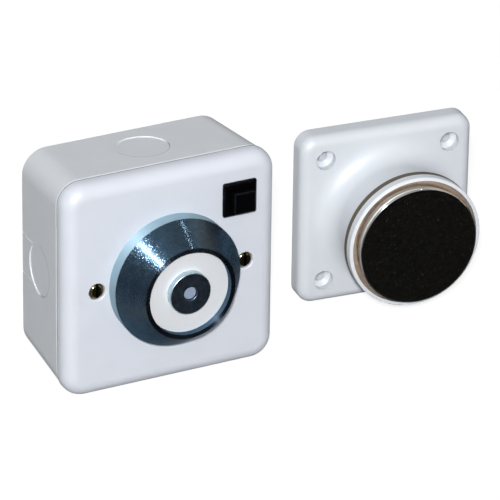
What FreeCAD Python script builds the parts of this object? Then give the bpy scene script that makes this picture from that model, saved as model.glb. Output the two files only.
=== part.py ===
import FreeCAD, Part
import Sketcher
import math
import os
import re

# Electromagnetic door holder: a magnet in a wall box, and the swivelling armature that goes on the door.
# Millimetres. X to the right, Y into the wall, Z up. The origin is the middle of the box's back face.
# "Depth" is the distance in front of the wall plane, so a depth of 10 lies at Y = -10.

doc = FreeCAD.newDocument("door_holder")
sheet = doc.addObject("Spreadsheet::Sheet", "Size")
pieces = []

sizes = {
    # wall box
    "box_side": 86.0,
    "box_depth": 35.0,
    "box_taper": 2.2,
    "box_corner": 9.6,
    "box_wall": 2.2,
    "box_back": 2.5,
    "box_lip": 1.4,
    "boss_radius": 4.4,
    "boss_drop": 1.0,
    "knock_radius": 10.1,
    "knock_step": 0.5,
    "knock_depth": 17.0,
    "score_spread": 16.0,
    "score_width": 0.5,
    "score_step": 0.3,
    "fixing_spacing": 50.0,
    "fixing_radius": 2.25,
    "insert_radius": 2.75,
    "insert_length": 9.0,
    # front plate
    "plate_rim": 7.2,
    "plate_corner": 8.8,
    "plate_edge": 5.6,
    "plate_wall": 2.6,
    # plate screws
    "screw_spacing": 60.3,
    "screw_radius": 1.7,
    "screw_length": 15.8,
    "screw_play": 0.3,
    "head_radius": 3.0,
    "head_height": 2.0,
    "head_play": 0.2,
    "head_sink": 0.1,
    "head_round": 1.2,
    "slot_width": 0.9,
    "slot_step": 0.9,
    "seat_wall": 1.8,
    "seat_tube": 1.8,
    "hole_round": 0.6,
    # electromagnet
    "flange_radius": 25.4,
    "flange_height": 5.4,
    "cone_height": 10.35,
    "face_radius": 18.2,
    "cavity_radius": 16.5,
    "cup_floor": 5.0,
    "cup_round": 0.3,
    "core_radius": 8.2,
    "core_bore": 2.6,
    "core_round": 0.35,
    "potting_sink": 2.5,
    "potting_height": 1.0,
    "bobbin_wall": 0.8,
    "bobbin_play": 0.15,
    "winding_margin": 0.6,
    "seat_gap": 0.05,
    "bolt_radius": 2.5,
    "bolt_play": 0.25,
    "bolt_sink": 0.6,
    "bolt_flats": 8.0,
    "bolt_head": 3.5,
    "washer_radius": 6.0,
    "washer_height": 1.0,
    "spring_washer_radius": 4.4,
    "spring_washer_height": 1.2,
    "spring_washer_split": 0.9,
    # coil leads and their bush
    "lead_drop": 12.4,
    "lead_radius": 0.65,
    "lead_spacing": 1.9,
    "bush_radius": 2.6,
    "bush_bore": 1.9,
    "bush_collar": 3.6,
    "bush_collar_height": 0.8,
    # release button
    "switch_across": 27.3,
    "switch_up": 26.4,
    "bezel_side": 13.7,
    "bezel_height": 1.2,
    "bezel_bevel": 0.6,
    "bezel_corner": 0.9,
    "switch_side": 12.0,
    "switch_depth": 15.2,
    "switch_wall": 0.7,
    "switch_floor": 1.2,
    "switch_play": 0.15,
    "shoulder_depth": 2.4,
    "cap_side": 8.2,
    "cap_height": 4.1,
    "cap_play": 0.3,
    "cap_round": 0.5,
    "button_travel": 2.5,
    "cap_flange_height": 2.0,
    "stem_side": 2.0,
    "stem_pin": 0.75,
    "stem_tail": 0.8,
    "bridge_length": 7.8,
    "bridge_width": 2.6,
    "bridge_height": 0.5,
    "bridge_over_floor": 4.0,
    "contact_gap": 0.3,
    "blade_height": 0.5,
    "blade_width": 3.0,
    "blade_tail": 7.0,
    "blade_parting": 3.4,
    "blade_play": 0.1,
    "spring_radius": 1.7,
    "spring_wire": 0.18,
    "spring_turns": 2.5,
    "spring_play": 0.1,
    "clip_side": 14.4,
    "clip_cut": 2.0,
    "clip_height": 0.5,
    # supply terminals
    "block_to_wall": 13.8,
    "block_width": 20.0,
    "block_tall": 12.0,
    "block_depth": 11.0,
    "pillar_radius": 4.0,
    "pillar_height": 5.0,
    "pillar_hole": 5.5,
    "way_spacing": 10.0,
    "clamp_radius": 2.1,
    "clamp_bore": 1.5,
    "clamp_inset": 0.6,
    "clamp_depth": 5.5,
    "clamp_screw_spacing": 6.0,
    "clamp_screw_radius": 1.0,
    "clamp_head_radius": 1.5,
    "clamp_head_height": 1.6,
    "clamp_head_sink": 0.6,
    "clamp_slot_width": 0.5,
    "clamp_slot_step": 0.6,
    "block_screw_radius": 1.5,
    "block_head_radius": 2.6,
    "block_head_height": 1.8,
    "block_head_sink": 1.2,
    "diode_radius": 1.35,
    "diode_length": 5.2,
    "diode_drop": 3.4,
    "diode_wire": 0.4,
    "diode_grip": 4.6,
    "lead_grip": 4.6,
    # armature half: where it stands beside the magnet half
    "keeper_across": 105.8,
    "keeper_forward": 4.6,
    "keeper_turn": 5.67,
    # armature base
    "base_side": 69.8,
    "base_height": 9.0,
    "base_corner": 6.0,
    "base_edge": 4.0,
    "base_hole_spacing": 50.5,
    "base_hole_radius": 2.3,
    "base_sink_radius": 3.9,
    "base_sink_depth": 3.0,
    "base_seat_cone": 1.5,
    "tower_radius": 22.3,
    "tower_height": 29.0,
    "tower_fillet": 8.0,
    "tower_bevel": 0.8,
    "tower_bore": 17.0,
    "tower_floor": 15.0,
    "nut_room_radius": 9.0,
    "nut_room_depth": 7.0,
    # ball joint
    "ball_radius": 5.0,
    "ball_gap": 0.05,
    "neck_radius": 2.6,
    "collar_radius": 7.0,
    "collar_height": 2.0,
    "shank_radius": 3.0,
    "shank_play": 0.2,
    "shank_back": 0.8,
    "stud_washer_radius": 6.25,
    "stud_washer_height": 1.6,
    "stud_nut_flats": 10.0,
    "stud_nut_height": 4.6,
    "liner_wall": 1.45,
    "liner_skirt": 3.4,
    "liner_gap": 0.2,
    "socket_gap": 0.1,
    # armature
    "buffer_gap": 2.2,
    "buffer_height": 2.8,
    "dish_radius": 26.5,
    "dish_height": 3.0,
    "dish_wall": 1.4,
    "dish_floor": 1.0,
    "dish_round": 0.4,
    "plateau_radius": 15.0,
    "plateau_gap": 0.1,
    "hub_radius": 9.5,
    "hub_skirt": 3.7,
    "disc_gap": 1.5,
    "disc_height": 5.7,
    "disc_edge": 0.7,
    "disc_screw_ring": 12.2,
    "disc_screw_radius": 1.5,
    "disc_screw_grip": 3.2,
    "disc_head_radius": 2.4,
    "disc_head_height": 1.6,
    "disc_head_sink": 0.2,
    "disc_head_play": 0.2,
}

for row, (alias, number) in enumerate(sizes.items(), 1):
    sheet.set("A%d" % row, alias.replace("_", " "))
    sheet.set("B%d" % row, str(number))
    sheet.setAlias("B%d" % row, alias)
doc.recompute()

# Places that several pieces share, written with the names of the sheet
box_slope = "atan(box_taper / box_depth)"
box_back_half = "(box_side / 2 - box_taper)"
plate_front = "(box_depth + plate_rim)"
plate_inside = "(%s - plate_wall)" % plate_front
screw_across = "(screw_spacing / 2)"
head_seat = "(%s - head_sink - head_height)" % plate_front
boss_front = "(box_depth - boss_drop)"
cup_inside = "(%s + cup_floor)" % plate_front
pole_front = "(%s + flange_height + cone_height)" % plate_front
potting_front = "(%s - potting_sink)" % pole_front
bobbin_back = "(%s + seat_gap)" % cup_inside
bobbin_front = "(%s - potting_height - seat_gap)" % potting_front
bolt_seat = "(%s - washer_height - spring_washer_height)" % plate_inside
bezel_front = "(%s + bezel_height)" % plate_front
shoulder = "(%s - shoulder_depth)" % bezel_front
switch_back = "(%s - switch_depth)" % plate_front
switch_inside = "(%s + switch_floor)" % switch_back
chamber_side = "(switch_side - 2 * switch_wall)"
cap_stop = "(%s - cap_play)" % shoulder
bridge_back = "(%s + bridge_over_floor)" % switch_inside
bridge_front = "(%s + bridge_height)" % bridge_back
blade_front = "(%s + contact_gap + blade_height)" % bridge_front
blade_outside = "(switch_side / 2 - switch_wall - blade_play)"
block_up = "-(box_side / 2 - box_wall - block_to_wall)"
block_front = "(%s - pillar_height)" % plate_inside
block_back = "(%s - block_depth)" % block_front
clamp_axis = "(%s + clamp_depth)" % block_back
clamp_seat = "(%s + clamp_head_sink + clamp_head_height)" % block_back
block_seat = "(%s + block_head_sink + block_head_height)" % block_back
way_across = "(way_spacing / 2)"
hole_across = "(base_hole_spacing / 2)"
buffer_back = "(tower_height + buffer_gap)"
dish_back = "(%s + buffer_height)" % buffer_back
dish_front = "(%s + dish_height)" % dish_back
disc_back = "(%s + dish_floor)" % dish_back
disc_front = "(%s + disc_height)" % disc_back
disc_radius = "(dish_radius - dish_wall - disc_gap)"
disc_seat = "(%s + disc_head_sink + disc_head_height)" % buffer_back
liner_radius = "(ball_radius + ball_gap + liner_wall)"
socket_radius = "(%s + socket_gap)" % liner_radius
ball_depth = "(%s - liner_gap - %s)" % (disc_back, liner_radius)
hub_back = "(%s - hub_skirt)" % ball_depth


def named(text):
    """The expression with each size written as a cell of the sheet."""
    return re.sub(r"\b[a-z]+(?:_[a-z]+)+\b", r"Size.\g<0>", text)


def size(text):
    """The expression's present value."""
    return float(sheet.evalExpression(text))


def piece(label):
    body = doc.addObject("PartDesign::Body", label)
    body.Label = label
    pieces.append(body)
    return body


def origin_feature(body, role):
    return next(item for item in body.Origin.OriginFeatures if item.Role == role)


def sketch_on(body, role, offset="0"):
    sketch = body.newObject("Sketcher::SketchObject", body.Label + "_sketch")
    sketch.AttachmentSupport = [(origin_feature(body, role), "")]
    sketch.MapMode = "FlatFace"
    sketch.setExpression("AttachmentOffset.Base.z", named(offset))
    return sketch


def facing(body, depth):
    """A sketch that faces the front, at a depth: its X is X and its Y is Z."""
    return sketch_on(body, "XZ_Plane", depth)


def tilted(sketch, axis, angle):
    """Turns a sketch in its own plane's frame, so that it lies on a wall that leans."""
    offset = sketch.AttachmentOffset
    offset.Rotation = FreeCAD.Rotation(FreeCAD.Vector(*axis), 1)
    sketch.AttachmentOffset = offset
    sketch.setExpression("AttachmentOffset.Rotation.Angle", named(angle))
    doc.recompute()


def bound(sketch, constraint, text):
    number = sketch.addConstraint(constraint)
    sketch.setExpression("Constraints[%d]" % number, named(text))


def pin(sketch, item, point, across, along):
    bound(sketch, Sketcher.Constraint("DistanceX", -1, 1, item, point, size(across)), across)
    bound(sketch, Sketcher.Constraint("DistanceY", -1, 1, item, point, size(along)), along)


def outline(sketch, corners):
    first = sketch.GeometryCount
    spots = [FreeCAD.Vector(size(across), size(along), 0) for across, along in corners]
    for number, spot in enumerate(spots):
        sketch.addGeometry(Part.LineSegment(spot, spots[(number + 1) % len(spots)]), False)
    for number, (across, along) in enumerate(corners):
        after = first + (number + 1) % len(corners)
        sketch.addConstraint(Sketcher.Constraint("Coincident", first + number, 2, after, 1))
        pin(sketch, first + number, 1, across, along)


def rectangle(sketch, across, along, width, height):
    left = "%s - (%s) / 2" % (across, width)
    right = "%s + (%s) / 2" % (across, width)
    low = "%s - (%s) / 2" % (along, height)
    high = "%s + (%s) / 2" % (along, height)
    outline(sketch, [(left, low), (right, low), (right, high), (left, high)])


def hexagon(sketch, flats):
    corner = "%s / sqrt(3)" % flats
    turns = [60 * number for number in range(6)]
    outline(sketch, [("%s * cos(%d)" % (corner, turn), "%s * sin(%d)" % (corner, turn)) for turn in turns])


def circle(sketch, across, along, radius):
    centre = FreeCAD.Vector(size(across), size(along), 0)
    item = sketch.addGeometry(Part.Circle(centre, FreeCAD.Vector(0, 0, 1), size(radius)), False)
    pin(sketch, item, 3, across, along)
    bound(sketch, Sketcher.Constraint("Radius", item, size(radius)), radius)


def circles(sketch, centres, radius):
    for across, along in centres:
        circle(sketch, across, along, radius)


def owner(sketch):
    return sketch.getParentGeoFeatureGroup()


def pad(sketch, length, back=False, draft="0"):
    """Adds from the sketch towards the front, or back towards the wall; a draft draws the sides in."""
    feature = owner(sketch).newObject("PartDesign::Pad", owner(sketch).Label + "_pad")
    feature.Profile = sketch
    feature.Reversed = back
    feature.setExpression("Length", named(length))
    feature.setExpression("TaperAngle", named("-(%s)" % draft))
    doc.recompute()
    return feature


def pocket(sketch, length, forward=False, draft="0"):
    """Cuts from the sketch towards the wall, or towards the front; a draft draws the sides in."""
    body = owner(sketch)
    before = body.Shape.Volume
    feature = body.newObject("PartDesign::Pocket", body.Label + "_pocket")
    feature.Profile = sketch
    feature.Reversed = forward
    feature.setExpression("Length", named(length))
    feature.setExpression("TaperAngle", named("-(%s)" % draft))
    doc.recompute()
    if not body.Shape.Volume < before:
        raise RuntimeError("a cut in %s takes nothing away" % body.Label)
    return feature


def turned(body, rings):
    """A solid of revolution about the body's own Y axis, from rings of (radius, depth)."""
    sketch = sketch_on(body, "XY_Plane")
    outline(sketch, [(radius, "-(%s)" % depth) for radius, depth in rings])
    feature = body.newObject("PartDesign::Revolution", body.Label + "_turning")
    feature.Profile = sketch
    feature.ReferenceAxis = (sketch, ["V_Axis"])
    feature.Angle = 360
    doc.recompute()
    return feature


def ball(body, kind, radius, depth):
    feature = body.newObject("PartDesign::" + kind, body.Label + "_ball")
    feature.AttachmentSupport = [(origin_feature(body, "XY_Plane"), "")]
    feature.MapMode = "FlatFace"
    feature.setExpression("AttachmentOffset.Base.y", named("-(%s)" % depth))
    feature.setExpression("Radius", named(radius))
    doc.recompute()


def near(first, second):
    return abs(first - second) < 1e-4


def from_corners(half, depth):
    """Edges that leave the four corners of a square at this depth, out of its plane."""
    def at_corner(spot):
        square = near(abs(spot.x), size(half)) and near(abs(spot.z), size(half))
        return square and near(spot.y, -size(depth))

    def wanted(edge):
        first = edge.Vertexes[0].Point
        last = edge.Vertexes[-1].Point
        return at_corner(first) != at_corner(last) and not near(first.y, last.y)
    return wanted


def at_depth(depth, reach=None):
    """Edges that lie in one plane, all of them or those that reach a given |x| or |z| from the middle."""
    def wanted(edge):
        box = edge.BoundBox
        if not (near(box.YMin, -size(depth)) and near(box.YMax, -size(depth))):
            return False
        far = max(abs(box.XMin), abs(box.XMax), abs(box.ZMin), abs(box.ZMax))
        return reach is None or far > size(reach) - 1e-4
    return wanted


def ring_edge(radius, depth):
    def wanted(edge):
        if not isinstance(edge.Curve, Part.Circle):
            return False
        return near(edge.Curve.Radius, size(radius)) and near(edge.Curve.Center.y, -size(depth))
    return wanted


def dress(body, kind, amount, radius, wanted):
    base = body.Tip
    names = ["Edge%d" % number for number, edge in enumerate(base.Shape.Edges, 1) if wanted(edge)]
    if not names:
        raise RuntimeError("%s has no edge to dress" % body.Label)
    feature = body.newObject("PartDesign::" + kind, body.Label + "_edge")
    feature.Base = (base, names)
    feature.setExpression(amount, named(radius))
    doc.recompute()


def rounded(body, radius, wanted):
    dress(body, "Fillet", "Radius", radius, wanted)


def chamfered(body, width, wanted):
    dress(body, "Chamfer", "Size", width, wanted)


def mirrored(body, feature):
    copy = body.newObject("PartDesign::Mirrored", body.Label + "_mirrored")
    copy.Originals = [feature]
    copy.MirrorPlane = (origin_feature(body, "YZ_Plane"), [""])
    body.Tip = copy
    doc.recompute()


def round_the_axis(body, features, count):
    copy = body.newObject("PartDesign::PolarPattern", body.Label + "_pattern")
    copy.Originals = features
    copy.Axis = (origin_feature(body, "Y_Axis"), [""])
    copy.Angle = 360
    copy.Occurrences = count
    body.Tip = copy
    doc.recompute()


def placed(body, across, depth, up, turn="0"):
    body.Placement.Rotation.Axis = FreeCAD.Vector(0, 0, 1)
    body.setExpression("Placement.Base.x", named(across))
    body.setExpression("Placement.Base.y", named("-(%s)" % depth))
    body.setExpression("Placement.Base.z", named(up))
    body.setExpression("Placement.Rotation.Angle", named(turn))


def keeper_piece(label):
    """A piece of the armature half, in that half's own frame: it stands level with the box, turned a little."""
    body = piece(label)
    placed(body, "keeper_across", "keeper_forward", "base_side / 2 - box_side / 2", "-keeper_turn")
    return body


def both_sides(across, along="0"):
    return [("-(%s)" % across, along), (across, along)]


def four_corners(across, along, middle="0"):
    spots = []
    for up in ("%s + %s" % (middle, along), "%s - %s" % (middle, along)):
        spots.extend(both_sides(across, up))
    return spots


# Wall box: square shell drawn in towards the back, two bosses for the plate screws, and knock-outs for cable
# in the back and all four walls
def make_back_box():
    box = piece("back_box")
    sketch = facing(box, "box_depth")
    rectangle(sketch, "0", "0", "box_side", "box_side")
    pad(sketch, "box_depth", back=True, draft=box_slope)
    sketch = facing(box, "box_depth")
    rectangle(sketch, "0", "0", "box_side - 2 * box_wall", "box_side - 2 * box_wall")
    pocket(sketch, "box_depth - box_back", draft=box_slope)
    rounded(box, "box_corner - box_wall", from_corners("box_side / 2 - box_wall", "box_depth"))
    rounded(box, "box_corner", from_corners("box_side / 2", "box_depth"))
    rounded(box, "box_lip", at_depth("box_depth", "box_side / 2"))
    sketch = facing(box, "box_back")
    circles(sketch, both_sides(screw_across), "boss_radius")
    pad(sketch, "%s - box_back" % boss_front)
    sketch = facing(box, boss_front)
    circles(sketch, both_sides(screw_across), "insert_radius + seat_gap")
    pocket(sketch, "insert_length")
    sketch = facing(box, boss_front)
    circles(sketch, both_sides(screw_across), "screw_radius + screw_play")
    pocket(sketch, "%s - %s + screw_length + screw_play" % (boss_front, head_seat))
    sketch = facing(box, "box_back")
    circle(sketch, "0", "fixing_spacing / 2", "fixing_radius")
    circle(sketch, "0", "-fixing_spacing / 2", "fixing_radius")
    pocket(sketch, "box_back")
    sketch = facing(box, "0")
    circle(sketch, "0", "0", "knock_radius")
    pocket(sketch, "knock_step", forward=True)
    sketch = sketch_on(box, "YZ_Plane", box_back_half)
    tilted(sketch, (0, 1, 0), box_slope)
    for up in ("score_spread / 2", "-score_spread / 2"):
        reach = "knock_depth - sqrt(knock_radius ^ 2 - (score_spread / 2) ^ 2)"
        rectangle(sketch, "-(%s) / 2" % reach, up, reach, "score_width")
    score = pocket(sketch, "score_step")
    mirrored(box, score)
    sketch = sketch_on(box, "XY_Plane", box_back_half)
    tilted(sketch, (1, 0, 0), "-" + box_slope)
    circle(sketch, "0", "-knock_depth", "knock_radius")
    knock = pocket(sketch, "knock_step")
    round_the_axis(box, [knock], 4)


def make_box_inserts():
    inserts = piece("box_inserts")
    sketch = facing(inserts, "%s - insert_length" % boss_front)
    circles(sketch, both_sides(screw_across), "insert_radius")
    pad(sketch, "insert_length")
    sketch = facing(inserts, boss_front)
    circles(sketch, both_sides(screw_across), "screw_radius + seat_gap")
    pocket(sketch, "insert_length")


# Front plate: shallow square lid with a soft front edge; tubes behind it take the sunk screw heads
def make_front_plate():
    plate = piece("front_plate")
    sketch = facing(plate, "box_depth")
    rectangle(sketch, "0", "0", "box_side", "box_side")
    pad(sketch, "plate_rim")
    sketch = facing(plate, "box_depth")
    rectangle(sketch, "0", "0", "box_side - 2 * plate_wall", "box_side - 2 * plate_wall")
    pocket(sketch, "plate_rim - plate_wall", forward=True)
    rounded(plate, "plate_corner - plate_wall", from_corners("box_side / 2 - plate_wall", "box_depth"))
    rounded(plate, "plate_corner", from_corners("box_side / 2", "box_depth"))
    rounded(plate, "plate_edge", at_depth(plate_front))
    sketch = facing(plate, "%s - seat_wall" % head_seat)
    circles(sketch, both_sides(screw_across), "head_radius + head_play + seat_tube")
    pad(sketch, "%s - %s + seat_wall" % (plate_inside, head_seat))
    sketch = facing(plate, plate_front)
    circles(sketch, both_sides(screw_across), "head_radius + head_play")
    pocket(sketch, "head_sink + head_height")
    sketch = facing(plate, head_seat)
    circles(sketch, both_sides(screw_across), "screw_radius + screw_play")
    pocket(sketch, "seat_wall")
    rounded(plate, "hole_round", ring_edge("head_radius + head_play", plate_front))
    sketch = facing(plate, block_front)
    circle(sketch, "0", block_up, "pillar_radius")
    pad(sketch, "pillar_height")
    sketch = facing(plate, block_front)
    circle(sketch, "0", block_up, "block_screw_radius + seat_gap")
    pocket(sketch, "pillar_hole", forward=True)
    sketch = facing(plate, plate_front)
    circle(sketch, "0", "0", "bolt_radius + bolt_play")
    circle(sketch, "0", "-lead_drop", "bush_radius + seat_gap")
    opening = "switch_side + 2 * switch_play"
    rectangle(sketch, "switch_across", "switch_up", opening, opening)
    pocket(sketch, "plate_wall")


def make_plate_screws():
    screws = piece("plate_screws")
    sketch = facing(screws, head_seat)
    circles(sketch, both_sides(screw_across), "head_radius")
    pad(sketch, "head_height")
    sketch = facing(screws, "%s - screw_length" % head_seat)
    circles(sketch, both_sides(screw_across), "screw_radius")
    pad(sketch, "screw_length")
    rounded(screws, "head_round", ring_edge("head_radius", "%s + head_height" % head_seat))
    sketch = facing(screws, "%s + head_height" % head_seat)
    for across, along in both_sides(screw_across):
        rectangle(sketch, across, along, "slot_width", "2 * head_radius + head_play")
    pocket(sketch, "slot_step")


# Electromagnet: steel cup with a conical outside, centre pole, coil on its bobbin, filling over the coil
def make_magnet_cup():
    cup = piece("magnet_cup")
    hole = "bolt_radius + bolt_play"
    cone_back = "%s + flange_height" % plate_front
    turned(cup, [
        (hole, plate_front),
        ("flange_radius", plate_front),
        ("flange_radius", cone_back),
        ("face_radius", pole_front),
        ("cavity_radius", pole_front),
        ("cavity_radius", cup_inside),
        (hole, cup_inside),
    ])
    rounded(cup, "cup_round", ring_edge("flange_radius", cone_back))
    rounded(cup, "cup_round", ring_edge("face_radius", pole_front))
    sketch = facing(cup, cup_inside)
    circle(sketch, "0", "-lead_drop", "bush_radius + seat_gap")
    pocket(sketch, "cup_floor")


def make_magnet_core():
    core = piece("magnet_core")
    turned(core, [
        ("core_bore", cup_inside),
        ("core_radius", cup_inside),
        ("core_radius", pole_front),
        ("core_bore", pole_front),
    ])
    rounded(core, "core_round", ring_edge("core_radius", pole_front))
    rounded(core, "core_round", ring_edge("core_bore", pole_front))


def make_coil():
    inner = "core_radius + bobbin_play"
    barrel = "core_radius + bobbin_play + bobbin_wall"
    outer = "cavity_radius - bobbin_play"
    turned(piece("coil_bobbin"), [
        (inner, bobbin_back),
        (outer, bobbin_back),
        (outer, "%s + bobbin_wall" % bobbin_back),
        (barrel, "%s + bobbin_wall" % bobbin_back),
        (barrel, "%s - bobbin_wall" % bobbin_front),
        (outer, "%s - bobbin_wall" % bobbin_front),
        (outer, bobbin_front),
        (inner, bobbin_front),
    ])
    back = "%s + bobbin_wall + seat_gap" % bobbin_back
    front = "%s - bobbin_wall - seat_gap" % bobbin_front
    turned(piece("coil_winding"), [
        ("%s + seat_gap" % barrel, back),
        ("%s - winding_margin" % outer, back),
        ("%s - winding_margin" % outer, front),
        ("%s + seat_gap" % barrel, front),
    ])
    turned(piece("coil_potting"), [
        ("core_radius + seat_gap", "%s + seat_gap" % bobbin_front),
        ("cavity_radius - seat_gap", "%s + seat_gap" % bobbin_front),
        ("cavity_radius - seat_gap", potting_front),
        ("core_radius + seat_gap", potting_front),
    ])


# Bolt through plate, cup and pole, with its washers behind the plate
def make_magnet_bolt():
    bolt = piece("magnet_bolt")
    sketch = facing(bolt, "%s - bolt_head" % bolt_seat)
    hexagon(sketch, "bolt_flats")
    pad(sketch, "bolt_head")
    sketch = facing(bolt, bolt_seat)
    circle(sketch, "0", "0", "bolt_radius")
    pad(sketch, "%s - bolt_sink - %s" % (pole_front, bolt_seat))
    rounded(bolt, "core_round", ring_edge("bolt_radius", "%s - bolt_sink" % pole_front))
    hole = "bolt_radius + bolt_play"
    middle = "%s + spring_washer_height" % bolt_seat
    turned(piece("bolt_washer"), [
        (hole, middle),
        ("washer_radius", middle),
        ("washer_radius", plate_inside),
        (hole, plate_inside),
    ])
    spring = piece("bolt_spring_washer")
    turned(spring, [
        (hole, bolt_seat),
        ("spring_washer_radius", bolt_seat),
        ("spring_washer_radius", middle),
        (hole, middle),
    ])
    sketch = facing(spring, middle)
    rectangle(sketch, "0", "spring_washer_radius / 2", "spring_washer_split", "spring_washer_radius")
    pocket(sketch, "spring_washer_height")


def make_lead_bush():
    bush = piece("lead_bush")
    sketch = facing(bush, "%s - bush_collar_height" % plate_inside)
    circle(sketch, "0", "-lead_drop", "bush_collar")
    pad(sketch, "bush_collar_height")
    sketch = facing(bush, plate_inside)
    circle(sketch, "0", "-lead_drop", "bush_radius")
    pad(sketch, "%s - %s" % (cup_inside, plate_inside))
    sketch = facing(bush, cup_inside)
    circle(sketch, "0", "-lead_drop", "bush_bore")
    pocket(sketch, "%s - %s + bush_collar_height" % (cup_inside, plate_inside))


# Release button: a black housing held by a clip behind the plate, with a sprung cap that parts two contacts
def switch_piece(label):
    body = piece(label)
    placed(body, "switch_across", "0", "switch_up")
    return body


def make_switch_housing():
    housing = switch_piece("switch_housing")
    sketch = facing(housing, plate_front)
    rectangle(sketch, "0", "0", "bezel_side", "bezel_side")
    pad(sketch, "bezel_height")
    rounded(housing, "bezel_corner", from_corners("bezel_side / 2", plate_front))
    chamfered(housing, "bezel_bevel", at_depth(bezel_front))
    sketch = facing(housing, switch_back)
    rectangle(sketch, "0", "0", "switch_side", "switch_side")
    pad(sketch, "switch_depth")
    sketch = facing(housing, shoulder)
    rectangle(sketch, "0", "0", chamber_side, chamber_side)
    pocket(sketch, "%s - %s" % (shoulder, switch_inside))
    sketch = facing(housing, bezel_front)
    rectangle(sketch, "0", "0", "cap_side + 2 * cap_play", "cap_side + 2 * cap_play")
    pocket(sketch, "shoulder_depth")
    sketch = facing(housing, switch_inside)
    for across, along in both_sides("(%s - blade_height / 2)" % blade_outside):
        rectangle(sketch, across, along, "blade_height + 2 * blade_play", "blade_width + 2 * blade_play")
    pocket(sketch, "switch_floor")


def make_button_cap():
    cap = switch_piece("button_cap")
    flange_side = "%s - 2 * cap_play" % chamber_side
    flange_back = "%s - cap_flange_height" % cap_stop
    sketch = facing(cap, flange_back)
    rectangle(sketch, "0", "0", flange_side, flange_side)
    pad(sketch, "cap_flange_height")
    sketch = facing(cap, cap_stop)
    rectangle(sketch, "0", "0", "cap_side", "cap_side")
    pad(sketch, "%s + cap_height - %s" % (bezel_front, cap_stop))
    rounded(cap, "cap_round", at_depth("%s + cap_height" % bezel_front))
    sketch = facing(cap, bridge_front)
    rectangle(sketch, "0", "0", "stem_side", "stem_side")
    pad(sketch, "%s - %s" % (flange_back, bridge_front))
    sketch = facing(cap, "%s - stem_tail" % bridge_back)
    circle(sketch, "0", "0", "stem_pin")
    pad(sketch, "bridge_height + stem_tail")


def make_switch_works():
    bridge = switch_piece("contact_bridge")
    sketch = facing(bridge, bridge_back)
    rectangle(sketch, "0", "0", "bridge_length", "bridge_width")
    circle(sketch, "0", "0", "stem_pin + seat_gap")
    pad(sketch, "bridge_height")

    contacts = switch_piece("switch_contacts")
    sketch = sketch_on(contacts, "XY_Plane", "-blade_width / 2")
    inside = "(%s - blade_height)" % blade_outside
    under = "%s - blade_height" % blade_front
    tail = "%s - blade_tail" % switch_back
    for side in ("-1", "1"):
        corners = [
            (blade_outside, tail),
            (blade_outside, blade_front),
            ("(blade_parting / 2)", blade_front),
            ("(blade_parting / 2)", under),
            (inside, under),
            (inside, tail),
        ]
        outline(sketch, [("%s * %s" % (side, across), "-(%s)" % depth) for across, depth in corners])
    pad(sketch, "blade_width")

    spring = switch_piece("button_spring")
    sketch = sketch_on(spring, "XY_Plane")
    circle(sketch, "spring_radius", "-(%s + spring_play + spring_wire)" % switch_inside, "spring_wire")
    coil = spring.newObject("PartDesign::AdditiveHelix", "button_spring_coil")
    coil.Profile = sketch
    coil.ReferenceAxis = (sketch, ["V_Axis"])
    coil.Mode = "height-turns-angle"
    coil.Reversed = True
    coil.setExpression("Height", named("bridge_over_floor - 2 * spring_play - 2 * spring_wire"))
    coil.setExpression("Turns", named("spring_turns"))
    doc.recompute()

    clip = switch_piece("switch_clip")
    sketch = facing(clip, "%s - clip_height" % plate_inside)
    rectangle(sketch, "0", "0", "clip_side", "clip_side")
    rectangle(sketch, "0", "0", "switch_side + 2 * seat_gap", "switch_side + 2 * seat_gap")
    pad(sketch, "clip_height")
    chamfered(clip, "clip_cut", from_corners("clip_side / 2", plate_inside))


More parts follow.
